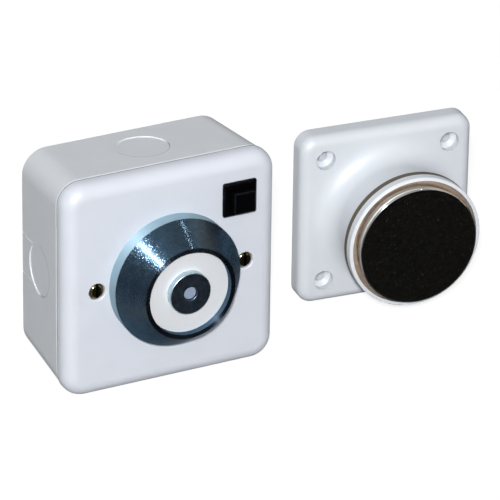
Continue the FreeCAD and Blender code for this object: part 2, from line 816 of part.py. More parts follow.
# Supply terminals: a two-way block on a pillar behind the plate, with brass clamps and a diode across them
def make_terminal_block():
    block = piece("terminal_block")
    screws = four_corners(way_across, "clamp_screw_spacing / 2", block_up)
    sketch = facing(block, block_back)
    rectangle(sketch, "0", block_up, "block_width", "block_tall")
    pad(sketch, "block_depth")
    sketch = sketch_on(block, "XY_Plane", "block_tall / 2 + %s" % block_up)
    circles(sketch, both_sides(way_across, "-%s" % clamp_axis), "clamp_radius + seat_gap")
    pocket(sketch, "block_tall")
    sketch = facing(block, block_back)
    circles(sketch, screws, "clamp_head_radius + seat_gap")
    pocket(sketch, "clamp_depth", forward=True)
    sketch = facing(block, block_back)
    circle(sketch, "0", block_up, "block_head_radius + seat_gap")
    pocket(sketch, "block_head_sink + block_head_height", forward=True)
    sketch = facing(block, block_back)
    circle(sketch, "0", block_up, "block_screw_radius + seat_gap")
    pocket(sketch, "block_depth", forward=True)

    clamps = piece("terminal_clamps")
    sketch = sketch_on(clamps, "XY_Plane", "clamp_inset - block_tall / 2 + %s" % block_up)
    circles(sketch, both_sides(way_across, "-%s" % clamp_axis), "clamp_radius")
    pad(sketch, "block_tall - 2 * clamp_inset")
    sketch = sketch_on(clamps, "XY_Plane", "block_tall / 2 - clamp_inset + %s" % block_up)
    circles(sketch, both_sides(way_across, "-%s" % clamp_axis), "clamp_bore")
    pocket(sketch, "block_tall - 2 * clamp_inset")
    sketch = facing(clamps, block_back)
    circles(sketch, screws, "clamp_screw_radius + seat_gap")
    pocket(sketch, "clamp_depth", forward=True)

    heads = piece("terminal_screws")
    sketch = facing(heads, "%s + clamp_head_sink" % block_back)
    circles(sketch, screws, "clamp_head_radius")
    pad(sketch, "clamp_head_height")
    sketch = facing(heads, clamp_seat)
    circles(sketch, screws, "clamp_screw_radius")
    pad(sketch, "%s - clamp_bore / 2 - %s" % (clamp_axis, clamp_seat))
    sketch = facing(heads, "%s + clamp_head_sink" % block_back)
    for across, along in screws:
        rectangle(sketch, across, along, "2 * clamp_head_radius + seat_gap", "clamp_slot_width")
    pocket(sketch, "clamp_slot_step", forward=True)

    screw = piece("block_screw")
    sketch = facing(screw, "%s + block_head_sink" % block_back)
    circle(sketch, "0", block_up, "block_head_radius")
    pad(sketch, "block_head_height")
    sketch = facing(screw, block_seat)
    circle(sketch, "0", block_up, "block_screw_radius")
    pad(sketch, "%s + pillar_hole - seat_gap - %s" % (block_front, block_seat))
    sketch = facing(screw, "%s + block_head_sink" % block_back)
    rectangle(sketch, "0", block_up, "2 * block_head_radius + seat_gap", "slot_width")
    pocket(sketch, "slot_step", forward=True)


# Wires: straight runs joined by tangent arcs, each arc as large as its two runs allow
def corner_arc(before, corner, after):
    into = (corner - before).normalize()
    out = (after - corner).normalize()
    turn = into.getAngle(out)
    trim = 0.45 * min((corner - before).Length, (after - corner).Length)
    start = corner - into * trim
    end = corner + out * trim
    radius = trim / math.tan(turn / 2)
    inward = (out - into).normalize()
    middle = corner + inward * (radius / math.cos(turn / 2) - radius)
    return start, middle, end, radius


def wire_tube(points, radius, name):
    edges = []
    spot = points[0]
    radii = []
    for before, corner, after in zip(points, points[1:], points[2:]):
        start, middle, end, bend = corner_arc(before, corner, after)
        edges.append(Part.LineSegment(spot, start).toShape())
        edges.append(Part.Arc(start, middle, end).toShape())
        radii.append(bend)
        spot = end
    edges.append(Part.LineSegment(spot, points[-1]).toShape())
    path = Part.Wire(edges)
    ring = Part.Wire(Part.makeCircle(radius, points[0], points[1] - points[0]))
    tube = path.makePipeShell([ring], True, True)
    print(name, "bends", " ".join("%.1f" % bend for bend in radii), "length %.1f" % path.Length)
    return tube


def wire_spot(across, depth, up):
    return FreeCAD.Vector(across, -depth, up)


def add_solid(label, shape):
    feature = doc.addObject("Part::Feature", label)
    feature.Label = label
    feature.Shape = shape
    feature.Placement = FreeCAD.Placement()
    pieces.append(feature)


def make_leads():
    lead = size("lead_radius")
    side = size("lead_spacing") / 2
    drop = -size("lead_drop")
    start = size(cup_inside)
    below_bush = size(plate_inside) - 3.6
    way = size(way_across)
    clamp = size(clamp_axis)
    mouth = size("block_tall / 2 + %s" % block_up)
    grip = mouth - size("lead_grip")
    blade = size(blade_outside) + lead + size("seat_gap")
    left = size("switch_across") - blade
    right = size("switch_across") + blade
    up = size("switch_up")
    tail = size(switch_back) - size("blade_tail")
    add_solid("coil_lead_return", wire_tube([
        wire_spot(-side, start, drop),
        wire_spot(-side, below_bush, drop),
        wire_spot(-side - 2.4, clamp + 1.6, drop - 1.8),
        wire_spot(-way, clamp, mouth + 3.4),
        wire_spot(-way, clamp, grip),
    ], lead, "coil_lead_return"))
    add_solid("coil_lead_feed", wire_tube([
        wire_spot(side, start, drop),
        wire_spot(side, below_bush, drop),
        wire_spot(side + 2, 23, drop + 4),
        wire_spot(10, 13, 2),
        wire_spot(18, 8.5, 14),
        wire_spot(left, tail - 6, up),
        wire_spot(left, tail + 4.5, up),
    ], lead, "coil_lead_feed"))
    add_solid("switch_lead", wire_tube([
        wire_spot(right, tail + 4.5, up),
        wire_spot(right, tail - 6, up),
        wire_spot(29, 7.5, 16),
        wire_spot(22, 7.5, 5),
        wire_spot(14, 12, -6),
        wire_spot(7, 21, -12),
        wire_spot(way, clamp, mouth + 3.4),
        wire_spot(way, clamp, grip),
    ], lead, "switch_lead"))


def make_suppression_diode():
    way = size(way_across)
    depth = size(clamp_axis)
    mouth = size("%s - block_tall / 2" % block_up)
    grip = mouth + size("diode_grip")
    low = mouth - size("diode_drop")
    wire = wire_tube([
        wire_spot(-way, depth, grip),
        wire_spot(-way, depth, low),
        wire_spot(way, depth, low),
        wire_spot(way, depth, grip),
    ], size("diode_wire"), "suppression_diode")
    length = size("diode_length")
    start = wire_spot(-length / 2, depth, low)
    barrel = Part.makeCylinder(size("diode_radius"), length, start, FreeCAD.Vector(1, 0, 0))
    add_solid("suppression_diode", barrel.fuse(wire).removeSplitter())


# Armature base: square moulding with four sunk screw holes and a hollow tower
def make_keeper_base():
    base = keeper_piece("keeper_base")
    sketch = facing(base, "0")
    rectangle(sketch, "0", "0", "base_side", "base_side")
    pad(sketch, "base_height")
    rounded(base, "base_corner", from_corners("base_side / 2", "0"))
    rounded(base, "base_edge", at_depth("base_height"))
    sketch = facing(base, "0")
    circle(sketch, "0", "0", "tower_radius")
    pad(sketch, "tower_height")
    rounded(base, "tower_fillet", ring_edge("tower_radius", "base_height"))
    chamfered(base, "tower_bevel", ring_edge("tower_radius", "tower_height"))
    sketch = facing(base, "tower_height")
    circle(sketch, "0", "0", "tower_bore")
    pocket(sketch, "tower_height - tower_floor")
    sketch = facing(base, "0")
    circle(sketch, "0", "0", "nut_room_radius")
    pocket(sketch, "nut_room_depth", forward=True)
    sketch = facing(base, "tower_floor")
    circle(sketch, "0", "0", "shank_radius + shank_play")
    pocket(sketch, "tower_floor - nut_room_depth")
    holes = four_corners(hole_across, hole_across)
    sketch = facing(base, "base_height")
    circles(sketch, holes, "base_sink_radius")
    pocket(sketch, "base_sink_depth")
    sketch = facing(base, "base_height")
    circles(sketch, holes, "base_hole_radius")
    pocket(sketch, "base_height")
    chamfered(base, "base_seat_cone", ring_edge("base_hole_radius", "base_height - base_sink_depth"))


# Ball joint: a stud bolted through the base, its ball in a nylon liner
def make_ball_joint():
    stud = keeper_piece("ball_stud")
    collar = "tower_floor + collar_height"
    turned(stud, [
        ("0", "shank_back"),
        ("shank_radius", "shank_back"),
        ("shank_radius", "tower_floor"),
        ("collar_radius", "tower_floor"),
        ("collar_radius", collar),
        ("neck_radius", collar),
        ("neck_radius", ball_depth),
        ("0", ball_depth),
    ])
    ball(stud, "AdditiveSphere", "ball_radius", ball_depth)

    washer_back = "nut_room_depth - stud_washer_height"
    turned(keeper_piece("stud_washer"), [
        ("shank_radius + shank_play", washer_back),
        ("stud_washer_radius", washer_back),
        ("stud_washer_radius", "nut_room_depth"),
        ("shank_radius + shank_play", "nut_room_depth"),
    ])

    nut = keeper_piece("stud_nut")
    sketch = facing(nut, "%s - stud_nut_height" % washer_back)
    hexagon(sketch, "stud_nut_flats")
    circle(sketch, "0", "0", "shank_radius + seat_gap")
    pad(sketch, "stud_nut_height")

    liner = keeper_piece("ball_liner")
    ball(liner, "AdditiveSphere", liner_radius, ball_depth)
    ball(liner, "SubtractiveSphere", "ball_radius + ball_gap", ball_depth)
    sketch = facing(liner, "%s - liner_skirt" % ball_depth)
    circle(sketch, "0", "0", "2 * %s" % liner_radius)
    pocket(sketch, liner_radius)


# Armature: chromed disc in a white dish, screwed from behind, with a rubber ring that meets the tower
def make_armature():
    spots = [("disc_screw_ring * cos(%d)" % turn, "disc_screw_ring * sin(%d)" % turn) for turn in (90, 210, 330)]

    dish = keeper_piece("armature_carrier")
    turned(dish, [
        ("0", hub_back),
        ("hub_radius", hub_back),
        ("hub_radius", buffer_back),
        ("plateau_radius", buffer_back),
        ("plateau_radius", dish_back),
        ("dish_radius", dish_back),
        ("dish_radius", dish_front),
        ("dish_radius - dish_wall", dish_front),
        ("dish_radius - dish_wall", disc_back),
        ("0", disc_back),
    ])
    rounded(dish, "dish_round", ring_edge("dish_radius", dish_front))
    ball(dish, "SubtractiveSphere", socket_radius, ball_depth)
    sketch = facing(dish, disc_back)
    circle(sketch, "0", "0", socket_radius)
    pocket(sketch, "%s - %s" % (disc_back, ball_depth))
    sketch = facing(dish, buffer_back)
    circles(sketch, spots, "disc_head_radius + disc_head_play")
    pocket(sketch, "disc_head_sink + disc_head_height", forward=True)
    sketch = facing(dish, disc_seat)
    circles(sketch, spots, "disc_screw_radius + disc_head_play")
    pocket(sketch, "%s - %s" % (disc_back, disc_seat), forward=True)

    turned(keeper_piece("buffer_ring"), [
        ("plateau_radius + plateau_gap", buffer_back),
        ("dish_radius", buffer_back),
        ("dish_radius", dish_back),
        ("plateau_radius + plateau_gap", dish_back),
    ])

    disc = keeper_piece("armature_disc")
    turned(disc, [
        ("0", disc_back),
        (disc_radius, disc_back),
        (disc_radius, disc_front),
        ("0", disc_front),
    ])
    rounded(disc, "disc_edge", ring_edge(disc_radius, disc_front))
    sketch = facing(disc, disc_back)
    circles(sketch, spots, "disc_screw_radius + seat_gap")
    pocket(sketch, "disc_screw_grip + disc_head_play", forward=True)

    screws = keeper_piece("carrier_screws")
    sketch = facing(screws, "%s + disc_head_sink" % buffer_back)
    circles(sketch, spots, "disc_head_radius")
    pad(sketch, "disc_head_height")
    sketch = facing(screws, disc_seat)
    circles(sketch, spots, "disc_screw_radius")
    pad(sketch, "%s + disc_screw_grip - %s" % (disc_back, disc_seat))
    sketch = facing(screws, "%s + disc_head_sink" % buffer_back)
    for across, along in spots:
        rectangle(sketch, across, along, "2 * disc_head_radius + seat_gap", "slot_width")
    pocket(sketch, "slot_step", forward=True)


make_back_box()
make_box_inserts()
make_front_plate()
make_plate_screws()
make_magnet_cup()
make_magnet_core()
make_coil()
make_magnet_bolt()
make_lead_bush()
make_switch_housing()
make_button_cap()
make_switch_works()
make_terminal_block()
make_leads()
make_suppression_diode()
make_keeper_base()
make_ball_joint()
make_armature()
doc.recompute()

for item in doc.Objects:
    if "Invalid" in item.State or "Error" in item.State:
        raise RuntimeError("%s did not recompute" % item.Label)
for item in pieces:
    if item.Shape.isNull() or not item.Shape.isValid() or not item.Shape.Solids:
        raise RuntimeError("%s has no valid solid" % item.Label)

os.makedirs("parts", exist_ok=True)
for item in pieces:
    item.Shape.exportStep("parts/%s.step" % item.Label)
    print(item.Label, len(item.Shape.Solids), "solids", "%.1f mm3" % item.Shape.Volume)
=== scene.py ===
import bpy
import bmesh
import math
from mathutils import Matrix, Vector


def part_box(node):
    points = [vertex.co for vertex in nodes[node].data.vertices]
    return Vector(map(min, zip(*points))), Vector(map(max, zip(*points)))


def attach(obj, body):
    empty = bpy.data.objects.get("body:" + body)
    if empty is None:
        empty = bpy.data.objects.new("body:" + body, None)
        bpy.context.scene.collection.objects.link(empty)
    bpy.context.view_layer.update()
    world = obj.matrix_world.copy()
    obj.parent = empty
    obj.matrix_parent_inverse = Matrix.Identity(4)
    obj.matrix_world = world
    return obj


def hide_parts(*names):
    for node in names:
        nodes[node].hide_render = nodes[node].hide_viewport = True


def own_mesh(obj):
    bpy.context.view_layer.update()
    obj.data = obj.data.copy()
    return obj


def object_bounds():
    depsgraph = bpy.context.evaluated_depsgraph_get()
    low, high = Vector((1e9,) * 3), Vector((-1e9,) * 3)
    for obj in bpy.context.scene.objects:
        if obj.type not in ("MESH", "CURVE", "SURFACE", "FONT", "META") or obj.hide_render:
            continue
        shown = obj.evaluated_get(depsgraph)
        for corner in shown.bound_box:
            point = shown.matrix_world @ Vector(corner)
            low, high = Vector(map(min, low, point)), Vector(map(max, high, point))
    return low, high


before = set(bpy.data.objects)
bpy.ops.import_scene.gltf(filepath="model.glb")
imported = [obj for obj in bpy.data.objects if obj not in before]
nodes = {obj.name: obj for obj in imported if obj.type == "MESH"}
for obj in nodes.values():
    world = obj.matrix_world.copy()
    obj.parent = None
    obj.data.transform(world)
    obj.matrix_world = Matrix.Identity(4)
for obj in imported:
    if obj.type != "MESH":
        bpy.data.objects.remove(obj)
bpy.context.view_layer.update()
scene = bpy.context.scene
print("frame loaded:", len(nodes), "CAD nodes")

# small helpers for shader trees
edgeWidth = 0.0001  # over which one finish gives way to the next
noiseEnds = (0.3, 0.7)  # between which nearly all of a noise lies


def freshMaterial(name):
    mat = bpy.data.materials.new(name)
    mat.use_nodes = True
    tree = mat.node_tree
    tree.nodes.clear()
    shader = tree.nodes.new("ShaderNodeBsdfPrincipled")
    out = tree.nodes.new("ShaderNodeOutputMaterial")
    tree.links.new(shader.outputs["BSDF"], out.inputs["Surface"])
    return mat, tree, shader


def objectCoords(tree):
    return tree.nodes.new("ShaderNodeTexCoord").outputs["Object"]


def noise(tree, vector, perMetre, detail, rough=0.55):
    tex = tree.nodes.new("ShaderNodeTexNoise")
    tex.inputs["Scale"].default_value = perMetre
    tex.inputs["Detail"].default_value = detail
    tex.inputs["Roughness"].default_value = rough
    tree.links.new(vector, tex.inputs["Vector"])
    return tex.outputs["Fac"]


def crystals(tree, vector, perMetre):
    tex = tree.nodes.new("ShaderNodeTexVoronoi")
    tex.inputs["Scale"].default_value = perMetre
    tree.links.new(vector, tex.inputs["Vector"])
    return tex.outputs["Color"]


def spread(tree, value, low, high, toLow, toHigh):
    node = tree.nodes.new("ShaderNodeMapRange")
    node.inputs["From Min"].default_value = low
    node.inputs["From Max"].default_value = high
    node.inputs["To Min"].default_value = toLow
    node.inputs["To Max"].default_value = toHigh
    tree.links.new(value, node.inputs["Value"])
    return node.outputs["Result"]


def beyond(tree, value, edge, fade=edgeWidth):
    return spread(tree, value, edge, edge + fade, 0, 1)


def within(tree, value, edge, fade=edgeWidth):
    return spread(tree, value, edge, edge + fade, 1, 0)


def opposite(tree, share):
    return spread(tree, share, 0, 1, 1, 0)


def ramp(tree, value, stops):
    node = tree.nodes.new("ShaderNodeValToRGB")
    while len(node.color_ramp.elements) < len(stops):
        node.color_ramp.elements.new(0.5)
    for element, (place, colour) in zip(node.color_ramp.elements, stops):
        element.position = place
        element.color = (*colour, 1)
    tree.links.new(value, node.inputs["Fac"])
    return node.outputs["Color"]


def tones(tree, value, colour, share):
    darker = [c * (1 - share) for c in colour]
    lighter = [min(1, c * (1 + share)) for c in colour]
    return ramp(tree, value, list(zip(noiseEnds, (darker, lighter))))


def bump(tree, height, metres, strength=1.0):
    node = tree.nodes.new("ShaderNodeBump")
    node.inputs["Distance"].default_value = metres
    node.inputs["Strength"].default_value = strength
    tree.links.new(height, node.inputs["Height"])
    return node.outputs["Normal"]


def sums(tree, operation, first, second=None):
    node = tree.nodes.new("ShaderNodeMath")
    node.operation = operation
    for place, value in enumerate((first, second)):
        if hasattr(value, "is_linked"):
            tree.links.new(value, node.inputs[place])
        elif value is not None:
            node.inputs[place].default_value = value
    return node.outputs["Value"]


def both(tree, first, second):
    return sums(tree, "MULTIPLY", first, second)


def vectors(tree, operation, first, second=None):
    node = tree.nodes.new("ShaderNodeVectorMath")
    node.operation = operation
    tree.links.new(first, node.inputs[0])
    if operation == "SCALE":
        tree.links.new(second, node.inputs["Scale"])
    elif hasattr(second, "is_linked"):
        tree.links.new(second, node.inputs[1])
    elif second is not None:
        node.inputs[1].default_value = second
    return node.outputs["Value" if operation == "LENGTH" else "Vector"]


def axisRadius(tree, vector):
    return vectors(tree, "LENGTH", vectors(tree, "MULTIPLY", vector, (1, 0, 1)))


def along(tree, vector, axis):
    parts = tree.nodes.new("ShaderNodeSeparateXYZ")
    tree.links.new(vector, parts.inputs["Vector"])
    return parts.outputs[axis]


def blended(tree, share, under, over):
    node = tree.nodes.new("ShaderNodeMix")
    node.data_type = "RGBA"
    tree.links.new(share, node.inputs["Factor"])
    tree.links.new(under, node.inputs["A"])
    tree.links.new(over, node.inputs["B"])
    return node.outputs["Result"]


# the armature half's own axes, as it stands beside the box
keeperPlace = {"centre": (0.1058, -0.0046, -0.0081), "turn": 5.67}


def keeperCoords(tree):
    turned = tree.nodes.new("ShaderNodeVectorRotate")
    turned.rotation_type = "Z_AXIS"
    turned.inputs["Angle"].default_value = math.radians(keeperPlace["turn"])
    moved = vectors(tree, "SUBTRACT", objectCoords(tree), keeperPlace["centre"])
    tree.links.new(moved, turned.inputs["Vector"])
    return turned.outputs["Vector"]


def wear(nodeNames, mat):
    for name in nodeNames:
        for place in nodes[name].material_slots:
            place.material = mat


# white moulded plastic: faint cloudiness, fine moulded skin
moulding = {
    "plate": (0.635, 0.662, 0.722),
    "box": (0.665, 0.69, 0.715),
    "keeper": (0.645, 0.675, 0.715),
    "dish": (0.66, 0.69, 0.725),
    "cloud": 0.018,
    "cloudPerMetre": 90,
    "skinPerMetre": 2600,
    "skinDepth": 0.00001,
    "roughness": (0.38, 0.52),
    "ior": 1.5,
}


def whiteMoulding(name, colour):
    mat, tree, shader = freshMaterial(name)
    at = objectCoords(tree)
    cloud = noise(tree, at, moulding["cloudPerMetre"], 3)
    skin = noise(tree, at, moulding["skinPerMetre"], 2)
    tree.links.new(tones(tree, cloud, colour, moulding["cloud"]), shader.inputs["Base Color"])
    tree.links.new(spread(tree, skin, *noiseEnds, *moulding["roughness"]), shader.inputs["Roughness"])
    tree.links.new(bump(tree, skin, moulding["skinDepth"]), shader.inputs["Normal"])
    shader.inputs["IOR"].default_value = moulding["ior"]
    return mat


# painted shade lies over a finish that is already there
def paintedShadeOver(mat, share, shadeColour):
    tree = mat.node_tree
    shader = next(node for node in tree.nodes if node.type == "BSDF_PRINCIPLED")
    plain = shader.inputs["Base Color"].links[0].from_socket
    tree.links.new(blended(tree, share, plain, shadeColour), shader.inputs["Base Color"])
    return mat


# shadow line where the plate meets the box
seam = {"colour": (0.13, 0.13, 0.14), "share": 0.3, "perMetre": 500, "front": -0.0354}


def plateMoulding(name):
    mat = whiteMoulding(name, moulding["plate"])
    tree = mat.node_tree
    at = objectCoords(tree)
    line = tones(tree, noise(tree, at, seam["perMetre"], 3), seam["colour"], seam["share"])
    return paintedShadeOver(mat, beyond(tree, along(tree, at, "Y"), seam["front"]), line)


# painted shade along the front half of each cable knock-out's rim, where the recess's near edge falls in
# shade
knockOut = {
    "colour": (0.36, 0.365, 0.37),
    "share": 0.15,
    "perMetre": 500,
    "depth": 0.017,
    "radius": 0.0101,
    "frontHalf": (-0.002, 0.001),
    "width": (0.0001, 0.00025),
}


def boxMoulding(name):
    mat = whiteMoulding(name, moulding["box"])
    tree = mat.node_tree
    at = objectCoords(tree)
    aside = sums(tree, "MINIMUM", sums(tree, "ABSOLUTE", along(tree, at, "X")),
                 sums(tree, "ABSOLUTE", along(tree, at, "Z")))  # from the middle of whichever wall it is
    forward = sums(tree, "ADD", along(tree, at, "Y"), knockOut["depth"])
    reach = sums(tree, "SQRT", sums(tree, "ADD", both(tree, aside, aside), both(tree, forward, forward)))
    off = sums(tree, "ABSOLUTE", sums(tree, "SUBTRACT", reach, knockOut["radius"]))
    frontHalf = spread(tree, forward, *knockOut["frontHalf"], 1, 0)
    # painted shade on the rim's front half only
    rimShade = both(tree, frontHalf, spread(tree, off, *knockOut["width"], 1, 0))
    line = tones(tree, noise(tree, at, knockOut["perMetre"], 3), knockOut["colour"], knockOut["share"])
    return paintedShadeOver(mat, rimShade, line)


# painted shade, brownish, in the gap round the disc
gap = {"colour": (0.23, 0.175, 0.135), "share": 0.2, "perMetre": 600, "radius": 0.02505, "depth": 0.0345}


def dishMoulding(name):
    mat = whiteMoulding(name, moulding["dish"])
    tree = mat.node_tree
    at = keeperCoords(tree)
    inside = within(tree, axisRadius(tree, at), gap["radius"])
    ahead = within(tree, along(tree, at, "Y"), -gap["depth"], 2 * edgeWidth)
    # painted shade deep in the gap
    shadeTone = tones(tree, noise(tree, at, gap["perMetre"], 3), gap["colour"], gap["share"])
    return paintedShadeOver(mat, both(tree, inside, ahead), shadeTone)


# zinc on turned steel: the tool's circles stretch each highlight into a radial streak
zinc = {
    "cone": (0.10, 0.165, 0.235),
    "face": (0.10, 0.14, 0.20),
    "share": 0.16,
    # the flange is painted pale and nearly matte: a painted reflection of the white plate round it
    "flangePaintedReflection": (0.33, 0.475, 0.57),
    "flangeShare": 0.04,
    "patchPerMetre": 420,
    "flangeFront": -0.0475,
    "faceBack": -0.0578,
    "flangeMetal": 0.2,
    "flangeRough": 0.5,  # added to the cone's
    "flakesPerMetre": 3000,  # crystals of the plating, each tipped its own way
    "flakeTip": 0.18,
    "flakeShare": 0.34,
    "flakeFade": 0.01,
    "flakeHeights": (-0.012, 0.010),  # between which they come in
    "roughness": (0.23, 0.34),  # between the crystals, and on them
    "turning": 1.0,
    "turningAngle": 0.25,  # of a whole turn
    "edgeTint": (0.40, 0.42, 0.43),  # keeps the plating dark where it is seen at a slant
}


def turnedHighlight(tree, shader):
    tangent = tree.nodes.new("ShaderNodeTangent")
    tangent.direction_type = "RADIAL"
    tangent.axis = "Y"
    tree.links.new(tangent.outputs["Tangent"], shader.inputs["Tangent"])
    shader.inputs["Anisotropic"].default_value = zinc["turning"]
    shader.inputs["Anisotropic Rotation"].default_value = zinc["turningAngle"]


def flaked(tree, at, share):
    cell = crystals(tree, at, zinc["flakesPerMetre"])
    chosen = within(tree, along(tree, cell, "X"), zinc["flakeShare"] - zinc["flakeFade"], zinc["flakeFade"])
    onFlake = both(tree, chosen, share)
    middle = (0.5 * zinc["flakeShare"], 0.5, 0.5)
    tip = vectors(tree, "SUBTRACT", cell, middle)
    tipped = vectors(tree, "SCALE", tip, sums(tree, "MULTIPLY", onFlake, zinc["flakeTip"]))
    surface = tree.nodes.new("ShaderNodeNewGeometry").outputs["Normal"]
    return vectors(tree, "NORMALIZE", vectors(tree, "ADD", surface, tipped)), onFlake


def zincPlate(name):
    mat, tree, shader = freshMaterial(name)
    at = objectCoords(tree)
    depth = along(tree, at, "Y")
    patch = noise(tree, at, zinc["patchPerMetre"], 5)
    cone = tones(tree, patch, zinc["cone"], zinc["share"])
    # pale flange: a painted reflection of the white plate
    flangePaintedReflection = tones(tree, patch, zinc["flangePaintedReflection"], zinc["flangeShare"])
    face = tones(tree, patch, zinc["face"], zinc["share"])
    onFlange = beyond(tree, depth, zinc["flangeFront"], 2 * edgeWidth)
    onFace = within(tree, depth, zinc["faceBack"])
    colour = blended(tree, onFace, blended(tree, onFlange, cone, flangePaintedReflection), face)
    tree.links.new(colour, shader.inputs["Base Color"])
    upper = spread(tree, along(tree, at, "Z"), *zinc["flakeHeights"], 0, 1)
    normal, onFlake = flaked(tree, at, both(tree, upper, opposite(tree, onFlange)))
    rough = sums(tree, "ADD", spread(tree, onFlake, 0, 1, *zinc["roughness"]),
                 sums(tree, "MULTIPLY", onFlange, zinc["flangeRough"]))
    tree.links.new(rough, shader.inputs["Roughness"])
    tree.links.new(spread(tree, onFlange, 0, 1, 1, zinc["flangeMetal"]), shader.inputs["Metallic"])
    tree.links.new(normal, shader.inputs["Normal"])
    shader.inputs["Specular Tint"].default_value = (*zinc["edgeTint"], 1)
    turnedHighlight(tree, shader)
    return mat


# centre pole: dark ground face with the turning tool's rings; the zinc round its side painted pale, a
# painted reflection of the lit surroundings
pole = {
    "face": (0.085, 0.12, 0.17),
    "share": 0.16,
    "side": (0.50, 0.62, 0.68),
    "sideShare": 0.03,
    "sideRadius": 0.0079,
    "patchPerMetre": 700,
    "ringsPerMetre": 2600,
    "ringDepth": 0.000010,
    "ringStrength": 0.4,
    "roughness": (0.34, 0.44),
}


def poleSteel(name):
    mat, tree, shader = freshMaterial(name)
    at = objectCoords(tree)
    radius = axisRadius(tree, at)
    rings = sums(tree, "SINE", sums(tree, "MULTIPLY", radius, pole["ringsPerMetre"] * math.tau))
    patch = noise(tree, at, pole["patchPerMetre"], 4)
    face = tones(tree, patch, pole["face"], pole["share"])
    # painted reflection: the side much paler than the face
    side = tones(tree, patch, pole["side"], pole["sideShare"])
    onSide = beyond(tree, radius, pole["sideRadius"], 2 * edgeWidth)
    tree.links.new(blended(tree, onSide, face, side), shader.inputs["Base Color"])
    tree.links.new(spread(tree, patch, *noiseEnds, *pole["roughness"]), shader.inputs["Roughness"])
    tree.links.new(bump(tree, rings, pole["ringDepth"], pole["ringStrength"]), shader.inputs["Normal"])
    shader.inputs["Metallic"].default_value = 1
    return mat


# plain plastics, rubber, the cast filling and wire coverings share one recipe
plastics = {
    "coilFilling": {"colour": (0.64, 0.652, 0.672), "share": 0.02, "perMetre": 1800, "depth": 0.00003,
                    "roughness": (0.55, 0.7), "gloss": 0.5},
    "buttonBlack": {"colour": (0.0012, 0.0012, 0.0017), "share": 0.2, "perMetre": 2400, "depth": 0.000006,
                    "roughness": (0.18, 0.26), "gloss": 0.10},
    "bandRubber": {"colour": (0.115, 0.095, 0.072), "share": 0.2, "perMetre": 1500, "depth": 0.00003,
                   "roughness": (0.55, 0.75), "gloss": 0.4},
    "nylon": {"colour": (0.70, 0.66, 0.55), "share": 0.05, "perMetre": 900, "depth": 0.00001,
              "roughness": (0.38, 0.5), "gloss": 0.5},
    "redCovering": {"colour": (0.42, 0.015, 0.012), "share": 0.08, "perMetre": 1200, "depth": 0.00001,
                    "roughness": (0.4, 0.5), "gloss": 0.5},
    "blackCovering": {"colour": (0.012, 0.012, 0.013), "share": 0.1, "perMetre": 1200, "depth": 0.00001,
                      "roughness": (0.4, 0.5), "gloss": 0.5},
}


def plainPlastic(name):
    finish = plastics[name]
    mat, tree, shader = freshMaterial(name)
    grain = noise(tree, objectCoords(tree), finish["perMetre"], 3)
    tree.links.new(tones(tree, grain, finish["colour"], finish["share"]), shader.inputs["Base Color"])
    tree.links.new(spread(tree, grain, *noiseEnds, *finish["roughness"]), shader.inputs["Roughness"])
    tree.links.new(bump(tree, grain, finish["depth"]), shader.inputs["Normal"])
    shader.inputs["Specular IOR Level"].default_value = finish["gloss"]
    return mat


# plain metals of the small pieces
metals = {
    "brass": {"colour": (0.46, 0.32, 0.11), "share": 0.2, "perMetre": 900,
              "roughness": (0.25, 0.4), "metal": 1},
    "screwBrass": {"colour": (0.22, 0.175, 0.08), "share": 0.3, "perMetre": 900,
                   "roughness": (0.13, 0.22), "metal": 1},
    "coilCopper": {"colour": (0.55, 0.21, 0.07), "share": 0.15, "perMetre": 700,
                   "roughness": (0.3, 0.4), "metal": 1},
    "platedSteel": {"colour": (0.42, 0.45, 0.50), "share": 0.15, "perMetre": 800,
                    "roughness": (0.25, 0.4), "metal": 1},
    "pinSteel": {"colour": (0.36, 0.44, 0.58), "share": 0.12, "perMetre": 1200,
                 "roughness": (0.4, 0.5), "metal": 0.35},
}
metalDepth = 0.000008  # of the patches, for all of them


def plainMetal(name):
    finish = metals[name]
    mat, tree, shader = freshMaterial(name)
    patch = noise(tree, objectCoords(tree), finish["perMetre"], 4)
    tree.links.new(tones(tree, patch, finish["colour"], finish["share"]), shader.inputs["Base Color"])
    tree.links.new(spread(tree, patch, *noiseEnds, *finish["roughness"]), shader.inputs["Roughness"])
    tree.links.new(bump(tree, patch, metalDepth), shader.inputs["Normal"])
    shader.inputs["Metallic"].default_value = finish["metal"]
    return mat


# painted shade in the plate screws' slots
screwSlot = {
    "colour": (0.035, 0.028, 0.02),
    "share": 0.3,
    "perMetre": 900,
    "across": 0.03015,
    "half": 0.00047,
}


def slottedBrass(name):
    mat = plainMetal(name)
    tree = mat.node_tree
    at = objectCoords(tree)
    aside = sums(tree, "SUBTRACT", sums(tree, "ABSOLUTE", along(tree, at, "X")), screwSlot["across"])
    inSlot = within(tree, sums(tree, "ABSOLUTE", aside), screwSlot["half"], edgeWidth / 2)
    # painted shade in the slot
    shadeTone = tones(tree, noise(tree, at, screwSlot["perMetre"], 3), screwSlot["colour"], screwSlot["share"])
    return paintedShadeOver(mat, inSlot, shadeTone)


# chrome of the armature: a mirror with a faint haze and specks of dust; its turned rim painted paler, a
# painted reflection of the lit dish round it
chrome = {
    "face": (0.27, 0.262, 0.24),
    "share": 0.3,
    "rimPaintedReflection": (0.90, 0.87, 0.82),
    "rimShare": 0.05,
    "rimRadius": 0.0229,
    "hazePerMetre": 900,
    "hazeRough": 0.6,
    "hazeEnds": (0.35, 0.7),
    "dust": (0.03, 0.03, 0.032),
    "dustShare": 0.2,
    "dustPerMetre": 2300,
    "dustEnds": (0.745, 0.80),
    "roughness": (0.06, 0.13),
}


